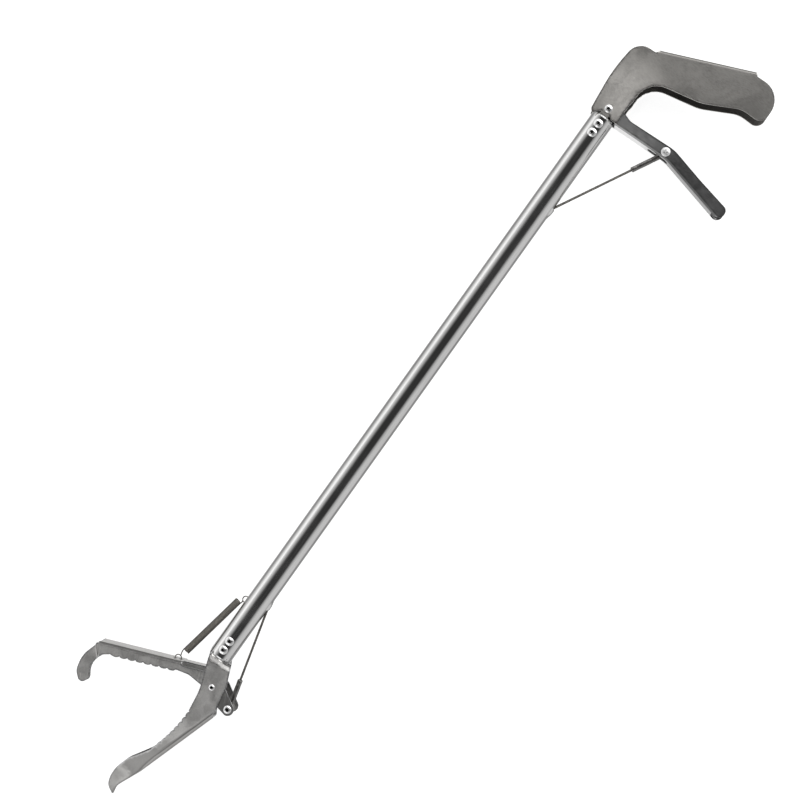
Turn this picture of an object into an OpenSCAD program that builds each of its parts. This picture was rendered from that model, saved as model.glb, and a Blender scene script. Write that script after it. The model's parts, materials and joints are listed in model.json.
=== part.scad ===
// Reacher grabber: riveted sheet-metal tongs on a long round tube.
// The tool lies on its side. X runs along the tube towards the handle, Y points to the side
// that the jaw opens to, and Z is the direction of every pivot pin.
// Inside each module, the tube's axis is the line Y = 0, Z = 0; at_home() moves the tool
// so that the origin is under the middle of its outer box.

/* [Tube] */
// Outer diameter of the tube
tube_d = 19; // [18.6:0.1:19.4]
// Wall thickness of the tube
tube_wall = 1.0; // [0.8:0.1:1.1]
// Jaw end of the tube
tube_x0 = -247.3; // [-247.6:0.1:-247.0]
// Handle end of the tube
tube_x1 = 267.4; // [267.0:0.1:267.6]

/* [Sheet metal] */
// Thickness of the pressed sheet
sheet = 1.2; // [1.0:0.1:1.3]
// Width over the two handle cheeks
handle_w = 19; // [18.8:0.1:19.4]
// Width over the two trigger cheeks
trigger_w = 14.4; // [14:0.1:14.6]
// Width over the two fixed jaw cheeks
fixed_w = 20; // [19.8:0.1:20.6]
// Width over the two moving jaw cheeks
moving_w = 16.6; // [16:0.1:16.8]
// Thickness of the flattened jaw ends
flat_w = 2.6; // [2.4:0.1:3]

/* [Teeth] */
// Teeth along the fixed jaw
fixed_teeth = 9; // [7:1:11]
// Teeth along the moving jaw
moving_teeth = 8; // [7:1:11]
// Height of a tooth
tooth_h = 1.1; // [0.6:0.1:1.4]

/* [Cable and spring] */
// Diameter of the wire rope
cable_d = 2; // [1.6:0.1:2]
// Outer diameter of the crimped ferrules
ferrule_d = 4.2; // [3.8:0.1:4.6]
// Outer diameter of the return spring's coil
spring_d = 6; // [5.4:0.1:6]
// Diameter of the spring's wire
wire_d = 0.9; // [0.8:0.05:0.9]

/* [Hidden] */
$fn = 48;

// The tool's origin is under the middle of its outer box.
home = [15.0, 13.88, 11.3];
eps = 0.01;
far = 60;

// Pivots: trigger on the handle, moving jaw on the fixed jaw, and the two cable pins.
trigger_pivot = [273.6, 0];
jaw_pivot = [-268.6, -9.8];
trigger_pin = [271.4, -54.4];
lever_pin = [-275.6, -29.8];
pin_r = 2.0;
jaw_pin_r = 1.6;
cable_pin_r = 1.5;
cable_bush_r = 2.4;
running = 0.06;

// Where the cable passes through the tube's underside. Each slot's reach is its start, its end and
// the length of its open mouth, from the hole; a pressed hood covers its inner end.
front_hole = [-197, -tube_d / 2];
front_slot_at = front_hole + [0, -0.3];
front_slot = [-9, 11, 13];
front_slot_r = 1.7;
front_hood_r = 2.7;
rear_hole = [190.2, -tube_d / 2];
rear_slot = [-8, 4, 7];
rear_slot_r = 1.5;
rear_hood_r = 2.4;

// The strap of each fitting that lies inside the tube.
strap_r = tube_d / 2 - tube_wall - 0.05;
strap_half = 3.5;
handle_rivet_x = [252.1, 260.3];
jaw_rivet_x = [-239.5, -231.1];
rivet_r = 1.6;

// Straight back of the handle, from its top to the start of its round end.
back_top = [330.6, -6.2];
back_low = [357.3, -76.2];

// Straight back of the moving jaw, on its outer face.
spine_low = [-258.3, 0.8];
spine_top = [-294.3, 84.4];
spine_dir = (spine_top - spine_low) / norm(spine_top - spine_low);
spine_out = [spine_dir[1], -spine_dir[0]];
spine_ang = atan2(spine_dir[1], spine_dir[0]);

// The spring's two end loops, each through a pair of small holes.
loop_r = 2.5;
loop_out = 1.2;
loop_hole = 1.9;
loop_hole_r = 1.08;
// The jaw's holes are oblong: start of each beside the bridge, its length, and its radius.
oblong = [1.38, 1.89];
oblong_r = 0.78;
tube_loop = [-199, tube_d / 2 - tube_wall / 2 + loop_out / 2];
jaw_loop = spine_low + 27.9 * spine_dir + (loop_out - sheet / 2) * spine_out;
coil_start = [-203.2, 13.7];
coil_end = [-260.7, 24.4];

handle_metal = [0.60, 0.59, 0.56];
trigger_metal = [0.45, 0.46, 0.46];
jaw_metal = [0.56, 0.56, 0.55];
bright_metal = [0.84, 0.85, 0.86];
spring_metal = [0.42, 0.38, 0.35];
cable_metal = [0.35, 0.35, 0.36];

// ---- Outlines ----

function unit(v) = v / norm(v);
function xy(p) = [p[0], p[1]];
function wrap(a) = a > 180 ? a - 360 : a < -180 ? a + 360 : a;

// Points of a rounded corner at q = [x, y, radius], between the corners p and s.
function corner(p, q, s, steps) =
    let (
        a = unit(xy(p) - xy(q)),
        b = unit(xy(s) - xy(q)),
        half = acos(a * b) / 2,
        centre = xy(q) + unit(a + b) * q[2] / sin(half),
        from = xy(q) + a * q[2] / tan(half) - centre,
        to = xy(q) + b * q[2] / tan(half) - centre,
        start = atan2(from[1], from[0]),
        turn = wrap(atan2(to[1], to[0]) - start)
    )
    q[2] == 0 ? [xy(q)]
    : [for (k = [0:steps]) centre + q[2] * [cos(start + turn * k / steps), sin(start + turn * k / steps)]];

// An outline from corners [x, y, radius].
function rounded(c, steps = 5) =
    [for (i = [0:len(c) - 1]) each corner(c[(i + len(c) - 1) % len(c)], c[i], c[(i + 1) % len(c)], steps)];

// An open run of rounded corners: the first and last are sharp ends.
function run(c, steps = 5) =
    [xy(c[0]), for (i = [1:len(c) - 2]) each corner(c[i - 1], c[i], c[i + 1], steps), xy(c[len(c) - 1])];

// A row of round teeth along the curve p, q, s, raised by tooth_h to the left of its direction.
function bezier(p, q, s, t) = (1 - t) * (1 - t) * p + 2 * t * (1 - t) * q + t * t * s;
function bezier_dir(p, q, s, t) = unit((1 - t) * (q - p) + t * (s - q));
function teeth(p, q, s, count, height, parts = 5) =
    [for (i = [0:count - 1], k = [0:parts - 1])
        let (
            t = (i + k / parts) / count,
            d = bezier_dir(p, q, s, t),
            h = height * sqrt(sin(180 * k / parts))
        )
        bezier(p, q, s, t) + h * [-d[1], d[0]]];

// ---- Shared pieces ----

module at_home() {
    translate(home) children();
}

// Copies the children to both sides of the tool's mid-plane.
module both_sides() {
    children();
    mirror([0, 0, 1]) children();
}

// A plate of the given outline between two heights.
module plate(points, low, high) {
    translate([0, 0, low]) linear_extrude(high - low) polygon(points);
}

module pin(at, r, low, high) {
    translate([at[0], at[1], low]) cylinder(r = r, h = high - low);
}

module sleeve(at, r_out, r_in, low, high) {
    difference() {
        pin(at, r_out, low, high);
        pin(at, r_in, low - 1, high + 1);
    }
}

// A domed rivet head that stands on the height `low`, with its pressed centre.
module rivet_head(at, r, height, dimple_r, low) {
    translate([at[0], at[1], low]) difference() {
        rotate_extrude() polygon([[0, 0], [r, 0], [r, 0.35 * height], [0.86 * r, 0.8 * height],
            [0.6 * r, height], [0, height]]);
        translate([0, 0, 0.35 * height]) cylinder(r = dimple_r, h = height);
    }
}

// A round bar between two points of the mid-plane.
module bar(from, to, r) {
    along = to - from;
    translate([from[0], from[1], 0]) rotate([0, 0, atan2(along[1], along[0])])
        rotate([0, 90, 0]) cylinder(r = r, h = norm(along));
}

// The curved strap that lies inside the tube, from x0 to x1, on the +Z side.
module strap(x0, x1) {
    intersection() {
        translate([x0, 0, 0]) rotate([0, 90, 0]) difference() {
            cylinder(r = strap_r, h = x1 - x0);
            translate([0, 0, -1]) cylinder(r = strap_r - sheet, h = x1 - x0 + 2);
        }
        translate([x0 - 1, -strap_half, 0]) cube([x1 - x0 + 2, 2 * strap_half, 12]);
    }
}

// The joggled neck that leads from a strap out to a cheek. The profile is in X and Z, and it
// is extruded across Y.
module neck(profile, half_y) {
    rotate([90, 0, 0]) translate([0, 0, -half_y]) linear_extrude(2 * half_y) polygon(profile);
}

// Blind rivets through the tube wall and a strap: one at each x, on both sides.
module tube_rivets(places) {
    head_r = 3.9;
    both_sides() for (x = places) difference() {
        union() {
            pin([x, 0], rivet_r, strap_r - sheet - 1.4, tube_d / 2);
            pin([x, 0], rivet_r + 0.7, strap_r - sheet - 2.2, strap_r - sheet - 0.45);
            difference() {
                rivet_head([x, 0], head_r, 2.3, eps, tube_d / 2 - 0.9);
                translate([x - 8, 0, 0]) rotate([0, 90, 0]) cylinder(r = tube_d / 2, h = 16);
            }
        }
        pin([x, 0], 0.95, tube_d / 2 - 1.5, tube_d);
    }
}

// ---- Tube ----

module main_tube() {
    color(bright_metal) at_home() difference() {
        union() {
            translate([tube_x0, 0, 0]) rotate([0, 90, 0]) cylinder(r = tube_d / 2, h = tube_x1 - tube_x0);
            cable_hood(front_hole, 1, front_hood_r);
            cable_hood(rear_hole, -1, rear_hood_r);
        }
        translate([tube_x0 - 1, 0, 0]) rotate([0, 90, 0])
            cylinder(r = tube_d / 2 - tube_wall, h = tube_x1 - tube_x0 + 2);
        cable_slot(front_slot_at, front_slot, front_slot_r);
        cable_slot(rear_hole, rear_slot, rear_slot_r);
        for (x = concat(handle_rivet_x, jaw_rivet_x)) pin([x, 0], rivet_r + 0.02, -tube_d, tube_d);
        for (side = [-1, 1]) translate([tube_loop[0] + side * loop_hole, 0, 0]) rotate([-90, 0, 0])
            cylinder(r = loop_hole_r, h = tube_d);
    }
}

// A pressed hood over the inner end of a cable slot; `side` is 1 when it reaches towards +X.
module cable_hood(hole, side, hood_r) {
    length = 8;
    x = hole[0] + side * 1.5;
    translate([x, hole[1] + 1.4, 0]) rotate([0, side * 90, 0]) cylinder(r = hood_r, h = length);
    translate([x + side * length, hole[1] + 1.4, 0]) sphere(r = hood_r);
}

// A cable slot through the tube's wall at a hole; reach is [start, end, length of its open mouth].
module cable_slot(hole, reach, slot_r) {
    start = hole[0] + reach[0];
    translate([start, hole[1] + 1.2, 0]) rotate([0, 90, 0]) cylinder(r = slot_r, h = reach[1] - reach[0]);
    translate([hole[0] + reach[1], hole[1] + 1.2, 0]) sphere(r = slot_r);
    translate([start, hole[1] - 4, -slot_r]) cube([reach[2], 5.4, 2 * slot_r]);
}

// ---- Handle ----

// Side view of a handle cheek: nose at the tube, arched top, straight back, round end, finger side.
handle_outline = rounded([[264.4, 9.0, 0.6], [267.3, 11.5, 2.5], [300, 14.8, 130], [328.2, 11.7, 12],
    [328.6, -4.6, 1], [330.6, -6.2, 0.3], [357.3, -76.2, 0.3], [355.5, -77.6, 0.8], [355.5, -101.1, 17],
    [328, -101.5, 6.8], [328.9, -82.5, 20], [315.8, -55, 35], [308.4, -12.1, 18], [267.4, -11.7, 0.5],
    [267.6, -6.1, 1], [269.6, -4.3, 0.5], [269.6, 4.3, 0.5], [268.2, 5.2, 1]]);

module handle_shell() {
    half = handle_w / 2;
    along = back_low - back_top;
    color(handle_metal) at_home() difference() {
        union() {
            both_sides() {
                plate(handle_outline, half - sheet, half);
                strap(246, tube_x1 + 0.6);
                neck([[tube_x1 + 0.1, 6.8], [tube_x1 + 0.1, 8.3], [269.2, half - 0.1], [270.4, half - 0.1],
                    [270.4, half - sheet + 0.1], [269.5, half - sheet + 0.1], [268.3, 6.8]], strap_half + 0.1);
            }
            // The folded back joins the two cheeks.
            translate([back_top[0], back_top[1], -half]) rotate([0, 0, atan2(along[1], along[0])])
                cube([norm(along), sheet, handle_w]);
        }
        pin(trigger_pivot, pin_r + 0.02, -far, far);
        for (x = handle_rivet_x) pin([x, 0], rivet_r + 0.02, -far, far);
    }
}

module handle_tube_rivets() {
    color(bright_metal) at_home() tube_rivets(handle_rivet_x);
}

// ---- Fixed jaw ----

// Side view: top edge from the tube, teeth, curved flat tip, folded back and tail.
fixed_back = [[-360.3, -1.6], [-289.1, -24.1]];
fixed_outline = concat(
    run([[-245.4, 8.3], [-276.5, -3.2, 45], [-294.0, -5.5]]),
    teeth([-295.0, -6.8], [-317.0, -6.6], [-338.2, 0.6], fixed_teeth, -tooth_h),
    run([[-339.0, 1.6], [-344.0, 4.4, 12], [-357.0, 12.6, 25], [-372.0, 17.4, 25], [-384.4, 14.2, 9], [-389.4, 6.0, 1.0],
        [-381.0, 7.4, 9], [-360.3, -1.6, 50], [-289.1, -24.1, 1.5], [-287.0, -23.1, 1],
        [-262.0, -19.4, 15], [-245.4, -11.9]]));

// Half widths of the fixed jaw along X: wide at the pivot, flattened at the tip.
fixed_half = [[-200, fixed_w / 2], [-304, fixed_w / 2], [-322, 9.2], [-338, 7.4], [-350, 4.8],
    [-359, 2.4], [-367, flat_w / 2], [-400, flat_w / 2]];

// A block of the given half widths along X, thinned by `less` on each side.
module width_block(halves, less) {
    upper = [for (p = halves) [p[0], max(p[1] - less, 0.001)]];
    lower = [for (i = [len(halves) - 1:-1:0]) [halves[i][0], -max(halves[i][1] - less, 0.001)]];
    rotate([90, 0, 0]) translate([0, 0, -150]) linear_extrude(300) polygon(concat(upper, lower));
}

module fixed_jaw() {
    half = fixed_w / 2;
    along = unit(fixed_back[1] - fixed_back[0]);
    inward = [-along[1], along[0]];
    floor_a = fixed_back[0] + sheet * inward;
    floor_b = fixed_back[1] + sheet * inward;
    neck_x = -253.6;
    neck_half = 4.9;
    color(jaw_metal) at_home() difference() {
        union() {
            difference() {
                intersection() {
                    plate(fixed_outline, -half, half);
                    width_block(fixed_half, 0);
                }
                // The inside of the channel; it has no floor between the tail and the tube.
                intersection() {
                    plate([floor_a, floor_b, [floor_b[0], -far], [-200, -far], [-200, far],
                        [floor_a[0], far]], -half, half);
                    width_block([for (p = fixed_half) if (p[0] > -360) p], sheet);
                }
                // The cheeks are cut back where the necks run into the tube, with a slit beside each.
                translate([neck_x, -neck_half - 0.3, -far]) cube([20, 2 * neck_half + 0.6, 2 * far]);
            }
            both_sides() {
                strap(tube_x0 - 0.6, -225);
                neck([[tube_x0 - 0.1, 6.8], [tube_x0 - 0.1, 8.3], [neck_x + 0.6, half - 0.1],
                    [neck_x - 0.8, half - 0.1], [neck_x - 0.8, half - sheet + 0.1],
                    [neck_x + 0.9, half - sheet + 0.1], [tube_x0 - 1.4, 6.8]], neck_half);
            }
        }
        pin(jaw_pivot, jaw_pin_r + 0.02, -far, far);
        for (x = jaw_rivet_x) pin([x, 0], rivet_r + 0.02, -far, far);
    }
}

module jaw_tube_rivets() {
    color(bright_metal) at_home() tube_rivets(jaw_rivet_x);
}

// ---- Trigger ----

trigger_outline = rounded([[269.0, -2, 0.5], [269.0, -9.4, 0.5], [266.7, -10.6, 0.4], [266.7, -58, 30],
    [258.7, -88.3, 60], [250.6, -118.7, 5], [261.4, -117.6, 5], [268.3, -88.3, 60], [276.3, -59.1, 30],
    [275.6, -18.9, 8], [279.2, -9.0, 4], [278.4, -1.6, 0.5]]);
trigger_inside = [[267.9, 20], [267.9, -57.9], [259.9, -88.3], [250.8, -122], [296, -122], [296, 20]];

module trigger() {
    half = trigger_w / 2;
    color(trigger_metal) at_home() difference() {
        union() {
            plate(trigger_outline, -half, half);
            pin(trigger_pivot, 4.6, -half, half);
        }
        plate(trigger_inside, sheet - half, half - sheet);
        pin(trigger_pivot, pin_r + running, -far, far);
        pin(trigger_pin, cable_pin_r + 0.02, -far, far);
        // Slot in the folded back for the cable's ferrule.
        translate([260, -60, -3.2]) cube([8.5, 18, 6.4]);
    }
}

module trigger_pivot_rivet() {
    color(bright_metal) at_home() {
        pin(trigger_pivot, pin_r, -handle_w / 2, handle_w / 2);
        both_sides() rivet_head(trigger_pivot, 3.4, 1.3, 1.0, handle_w / 2);
    }
}

module trigger_pivot_bush() {
    half = trigger_w / 2 - sheet;
    color(bright_metal) at_home() sleeve(trigger_pivot, 3.1, pin_r + running, -half, half);
}

module trigger_pivot_washers() {
    color(bright_metal) at_home() both_sides()
        sleeve(trigger_pivot, 3.6, pin_r + running, trigger_w / 2, handle_w / 2 - sheet - 0.1);
}

module trigger_cable_rivet() {
    half = trigger_w / 2;
    color(bright_metal) at_home() {
        pin(trigger_pin, cable_pin_r, -half, half);
        both_sides() difference() {
            rivet_head(trigger_pin, 3.5, 1.5, eps, half);
            // Three small marks from the riveting punch.
            for (a = [30, 150, 270])
                pin(trigger_pin + 1.2 * [cos(a), sin(a)], 0.55, half + 1.1, half + 2);
        }
    }
}

module trigger_cable_bush() {
    half = trigger_w / 2 - sheet;
    color(bright_metal) at_home() sleeve(trigger_pin, cable_bush_r, cable_pin_r, -half, half);
}

// ---- Cable ----

// A crimped ferrule with an eye: the eye turns on the bush at `pin_at`, and the barrel points
// at `towards` and ends at the distance `reach` from the pin.
module ferrule(pin_at, towards, reach) {
    along = unit(towards - pin_at);
    eye_r = 3.9;
    eye_half = 2.2;
    difference() {
        union() {
            pin(pin_at, eye_r, -eye_half, eye_half);
            bar(pin_at + (eye_r - 0.6) * along, pin_at + reach * along, ferrule_d / 2);
        }
        pin(pin_at, cable_bush_r + running, -far, far);
        bar(pin_at + (reach - 9) * along, pin_at + (reach + 1) * along, cable_d / 2);
    }
}

module rear_ferrule() {
    color(cable_metal) at_home() ferrule(trigger_pin, rear_hole, 28);
}

module front_ferrule() {
    color(cable_metal) at_home() ferrule(lever_pin, front_hole, 23.5);
}

// From the ferrule's barrel to the inside of the tube, `inside` past the hole.
module cable_end(pin_at, hole, reach, inside) {
    along = unit(hole - pin_at);
    bar(pin_at + (reach - 9) * along, hole + inside * along, cable_d / 2);
}

module rear_cable() {
    color(cable_metal) at_home() cable_end(trigger_pin, rear_hole, 28, 18.5);
}

module front_cable() {
    color(cable_metal) at_home() cable_end(lever_pin, front_hole, 23.5, 7);
}

module inner_cable() {
    color(cable_metal) at_home() bar([-183, -6.9], [166, -6.9], cable_d / 2);
}

// ---- Moving jaw ----

// Side view: ear, toothed front, hooked flat tip, straight back, and back to the ear.
moving_outline = concat(
    run([[-271.3, -32.4], [-280.6, -30.3, 0.5], [-278.7, -20, 8], [-272.8, -3, 12], [-272.2, 11, 12],
        [-275.0, 21.0]]),
    teeth([-275.6, 22.0], [-286.2, 46.4], [-297.0, 70.6], moving_teeth, tooth_h),
    run([[-297.6, 71.6], [-302.4, 77.6, 10], [-315.5, 81.6, 14], [-325.7, 75.1, 3.5], [-334.0, 79.6, 3.8],
        [-326.8, 88.0, 9], [-313.6, 91.2, 24], [-294.3, 84.4, 0.8], [-258.3, 0.8, 1.0],
        [-262.3, -17.0, 8], [-271.3, -32.4]]));

// Half widths of the moving jaw along its straight back, from the pivot.
moving_half = [[-60, moving_w / 2], [96, moving_w / 2], [101.5, flat_w / 2 + 0.5], [105, flat_w / 2],
    [160, flat_w / 2]];

module along_moving_jaw() {
    translate([jaw_pivot[0], jaw_pivot[1], 0]) rotate([0, 0, spine_ang]) children();
}

module moving_jaw() {
    half = moving_w / 2;
    ear_r = 5;
    strip_half = 4;
    relief_reach = 22;
    inner_low = spine_low - sheet * spine_out - 2 * spine_dir;
    inner_top = spine_top - sheet * spine_out + 30 * spine_dir;
    color(jaw_metal) at_home() difference() {
        intersection() {
            union() {
                plate(moving_outline, -half, half);
                pin(lever_pin, ear_r, -half, half);
            }
            along_moving_jaw() width_block(moving_half, 0);
        }
        // The inside of the channel, open at the teeth and below the straight back.
        intersection() {
            plate([inner_low, inner_top, [-350, 110], [-350, -far], [-230, -far], [-230, -1.0]], -half, half);
            along_moving_jaw() width_block([for (p = moving_half) if (p[0] < 103) p], sheet);
        }
        // Relief slots that leave a narrow strip of the back beside the pivot.
        both_sides() translate([spine_low[0], spine_low[1], strip_half]) rotate([0, 0, spine_ang])
            translate([-5, -1, 0]) cube([relief_reach + 5, 3.2, half]);
        pin(jaw_pivot, jaw_pin_r + running, -far, far);
        pin(lever_pin, cable_pin_r + 0.02, -far, far);
        // Two oblong holes, with the bridge between them that the spring's loop hooks around.
        for (side = [-1, 1]) translate([jaw_loop[0], jaw_loop[1], 0]) rotate([0, 0, spine_ang])
            translate([side * oblong[0], 0, 0]) rotate([90, 0, 0]) hull() for (x = [0, side * oblong[1]])
                translate([x, 0, 0]) cylinder(r = oblong_r, h = 8, center = true);
    }
}

module jaw_pivot_rivet() {
    color(bright_metal) at_home() {
        pin(jaw_pivot, jaw_pin_r, -fixed_w / 2, fixed_w / 2);
        both_sides() rivet_head(jaw_pivot, 2.8, 1.3, 0.8, fixed_w / 2);
    }
}

module jaw_pivot_bush() {
    half = moving_w / 2 - sheet;
    color(bright_metal) at_home() sleeve(jaw_pivot, 2.8, jaw_pin_r + running, -half, half);
}

module jaw_pivot_washers() {
    color(bright_metal) at_home() both_sides()
        sleeve(jaw_pivot, 4.6, jaw_pin_r + running, moving_w / 2, fixed_w / 2 - sheet - 0.1);
}

module lever_cable_rivet() {
    half = moving_w / 2;
    color(bright_metal) at_home() {
        pin(lever_pin, cable_pin_r, -half, half);
        both_sides() difference() {
            rivet_head(lever_pin, 3.2, 1.4, eps, half);
            translate([lever_pin[0], lever_pin[1], half + 0.8]) cylinder(r = 1.5, h = 2, $fn = 6);
        }
    }
}

module lever_cable_bush() {
    half = moving_w / 2 - sheet;
    color(bright_metal) at_home() sleeve(lever_pin, cable_bush_r, cable_pin_r, -half, half);
}

// ---- Return spring ----

// The close-wound coil: a sleeve whose outside follows the turns of the wire.
module return_spring() {
    along = coil_end - coil_start;
    length = norm(along);
    turns = floor(length / wire_d);
    pitch = length / turns;
    outside = [for (i = [0:turns - 1], k = [0:3])
        [spring_d / 2 - wire_d / 2 * (1 - sin(180 * (k + 0.5) / 4)), (i + (k + 0.5) / 4) * pitch]];
    inner = spring_d / 2 - wire_d;
    color(spring_metal) at_home() translate([coil_start[0], coil_start[1], 0])
        rotate([0, 0, atan2(along[1], along[0])]) rotate([0, 90, 0])
            rotate_extrude() polygon(concat([[inner, 0]], outside, [[inner, length]]));
}

// A wire ring with a short leg back to the coil.
module spring_loop(centre, leg_end) {
    along = unit(leg_end - centre);
    translate([centre[0], centre[1], 0]) rotate_extrude() translate([loop_r, 0]) rotate(22.5)
        circle(d = wire_d, $fn = 8);
    bar(centre + loop_r * along, leg_end, wire_d / 2);
}

module spring_tube_hook() {
    along = unit(coil_end - coil_start);
    across = [-along[1], along[0]];
    leg_end = coil_start + (spring_d / 2 - wire_d / 2) * across - 0.05 * along;
    color(spring_metal) at_home() spring_loop(tube_loop, leg_end);
}

module spring_jaw_hook() {
    along = unit(coil_end - coil_start);
    across = [-along[1], along[0]];
    leg_end = coil_end - (spring_d / 2 - wire_d / 2) * across + 0.05 * along;
    color(spring_metal) at_home() spring_loop(jaw_loop, leg_end);
}

main_tube();
handle_shell();
handle_tube_rivets();
fixed_jaw();
jaw_tube_rivets();
trigger();
trigger_pivot_rivet();
trigger_pivot_bush();
trigger_pivot_washers();
trigger_cable_rivet();
trigger_cable_bush();
rear_cable();
rear_ferrule();
inner_cable();
front_cable();
front_ferrule();
lever_cable_rivet();
lever_cable_bush();
moving_jaw();
jaw_pivot_rivet();
jaw_pivot_bush();
jaw_pivot_washers();
return_spring();
spring_tube_hook();
spring_jaw_hook();
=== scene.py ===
import json
import math

import bpy
import numpy as np
from mathutils import Matrix, Vector, geometry


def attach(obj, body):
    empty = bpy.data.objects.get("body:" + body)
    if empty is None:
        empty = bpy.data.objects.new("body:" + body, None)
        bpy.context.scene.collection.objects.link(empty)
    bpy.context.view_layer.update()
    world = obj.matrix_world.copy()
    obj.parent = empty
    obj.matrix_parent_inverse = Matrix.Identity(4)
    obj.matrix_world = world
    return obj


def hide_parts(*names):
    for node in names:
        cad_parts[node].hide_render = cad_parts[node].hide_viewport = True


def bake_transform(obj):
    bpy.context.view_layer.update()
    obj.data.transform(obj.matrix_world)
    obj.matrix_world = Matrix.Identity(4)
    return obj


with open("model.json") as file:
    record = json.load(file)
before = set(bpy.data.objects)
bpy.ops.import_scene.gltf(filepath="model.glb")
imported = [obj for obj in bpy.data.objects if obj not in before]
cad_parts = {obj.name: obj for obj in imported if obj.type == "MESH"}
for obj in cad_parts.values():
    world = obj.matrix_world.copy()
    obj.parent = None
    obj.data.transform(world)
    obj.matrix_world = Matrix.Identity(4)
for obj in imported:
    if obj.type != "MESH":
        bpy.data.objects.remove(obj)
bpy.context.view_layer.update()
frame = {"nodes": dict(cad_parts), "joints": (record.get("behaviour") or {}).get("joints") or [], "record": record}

MM = 0.001

# The reacher grabber's look. Lengths are in millimetres in the tool's own coordinates: the tube's
# axis is Y = 0, Z = 0, X runs to the handle and Y to the side that the jaw opens to. The frame's
# joints say where the tool's coordinates lie in the row frame.
JOINTS = {j["name"]: j for j in frame["joints"]}
TRIGGER_PIVOT = (273.6, 0.0)
HOME = Vector(JOINTS["trigger_squeeze"]["pos_m"]) / MM - Vector((*TRIGGER_PIVOT, 0.0))


def in_frame(point):
    """A point in the tool's millimetres, as metres in the row frame."""
    return (Vector(point) + HOME) * MM


def joint_xy(name):
    """Where a joint's axis crosses the tool's mid-plane."""
    p = Vector(JOINTS[name]["pos_m"]) / MM - HOME
    return np.array([p.x, p.y])


JAW_PIVOT = joint_xy("jaw_close")
LEVER_PIN = joint_xy("front_cable_swing")
TRIGGER_PIN = joint_xy("rear_cable_swing")
TUBE_LOOP = joint_xy("spring_swing")

TUBE_R = 9.5
TUBE_WALL = 1.0
TUBE_X = (-247.3, 267.4)
SHEET = 1.2
HANDLE_W = 19.0
TRIGGER_W = 14.4
FIXED_W = 20.0
MOVING_W = 16.6
TOOTH_H = 1.35
WIRE_R = 0.45
COIL_R = 3.0
PUNCH_DEPTH = 0.35
HANDLE_RIVET_X = (252.1, 260.3)
JAW_RIVET_X = (-239.5, -231.1)
FRONT_HOLE = np.array([-197.0, -TUBE_R])
REAR_HOLE = np.array([190.2, -TUBE_R])
COIL_START = np.array([-203.2, 13.7])
COIL_END = np.array([-260.7, 24.4])
# The ends of the moving jaw's straight back and of the handle's.
SPINE_LOW = np.array([-258.3, 0.8])
SPINE_TOP = np.array([-294.3, 84.4])
BACK_TOP = np.array([330.6, -6.2])
BACK_LOW = np.array([357.3, -76.2])
# How far along the moving jaw's back the spring's loop holds it, and the heel of the fixed jaw.
JAW_LOOP_AT = 27.9
FIXED_TAIL = np.array([-289.1, -24.1])


# ---- Outlines ----

def unit(v):
    v = np.asarray(v, float)
    return v / np.linalg.norm(v)


def unit_rows(v):
    return v / np.linalg.norm(v, axis=1)[:, None]


def polar(angle):
    return np.array([math.cos(angle), math.sin(angle)])


def corner(p, q, s, steps):
    """Points of a rounded corner at q = (x, y, radius), between the corners p and s."""
    p, centre_q, s = (np.array(v[:2], float) for v in (p, q, s))
    if len(q) < 3 or q[2] == 0:
        return [centre_q]
    a, b = unit(p - centre_q), unit(s - centre_q)
    half = math.acos(np.clip(a @ b, -1, 1)) / 2
    centre = centre_q + unit(a + b) * q[2] / math.sin(half)
    first = centre_q + a * q[2] / math.tan(half) - centre
    last = centre_q + b * q[2] / math.tan(half) - centre
    start = math.atan2(first[1], first[0])
    turn = (math.atan2(last[1], last[0]) - start + math.pi) % (2 * math.pi) - math.pi
    return [centre + q[2] * polar(start + turn * k / steps) for k in range(steps + 1)]


def run(corners, steps=8):
    """An open run of rounded corners (x, y, radius), with sharp ends."""
    points = [np.array(corners[0][:2], float)]
    for i in range(1, len(corners) - 1):
        points += corner(corners[i - 1], corners[i], corners[i + 1], steps)
    return points + [np.array(corners[-1][:2], float)]


def teeth(p, q, s, count, height, parts=10):
    """A row of round teeth along the curve p, q, s."""
    p, q, s = (np.array(v, float) for v in (p, q, s))
    points = []
    for i in range(count):
        for k in range(parts):
            t = (i + k / parts) / count
            d = unit((1 - t) * (q - p) + t * (s - q))
            h = height * math.sqrt(max(0.0, math.sin(math.pi * k / parts)))
            base = (1 - t) ** 2 * p + 2 * t * (1 - t) * q + t * t * s
            points.append(base + h * np.array([-d[1], d[0]]))
    return points


def circle(centre, radius, count):
    return [np.array(centre) + radius * polar(a) for a in np.linspace(0, 2 * math.pi, count, endpoint=False)]


def resample(points, step):
    """Adds points so that no stretch of a closed outline is longer than step."""
    out = []
    for a, b in zip(points, points[1:] + points[:1]):
        n = max(1, math.ceil(np.linalg.norm(b - a) / step))
        out += [a + (b - a) * k / n for k in range(n)]
    return [p for i, p in enumerate(out) if np.linalg.norm(p - out[i - 1]) > 0.02]


def area(points):
    p = np.array(points)
    n = np.roll(p, -1, 0)
    return float((p[:, 0] * n[:, 1] - p[:, 1] * n[:, 0]).sum() / 2)


def inside(points, loop):
    """Which of the points lie inside a closed outline."""
    x, y = points[:, 0], points[:, 1]
    result = np.zeros(len(points), bool)
    for (x0, y0), (x1, y1) in zip(loop, np.roll(loop, -1, 0)):
        if y0 != y1:
            crosses = (y0 > y) != (y1 > y)
            result ^= crosses & (x < (x1 - x0) * (y - y0) / (y1 - y0) + x0)
    return result


def distance_to(points, loop):
    """Distance of each point from a closed outline."""
    best = np.full(len(points), 1e9)
    for a, b in zip(loop, np.roll(loop, -1, 0)):
        d = b - a
        t = np.clip(((points - a) @ d) / max(d @ d, 1e-12), 0, 1)
        best = np.minimum(best, np.linalg.norm(points - a - t[:, None] * d, axis=1))
    return best


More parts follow.
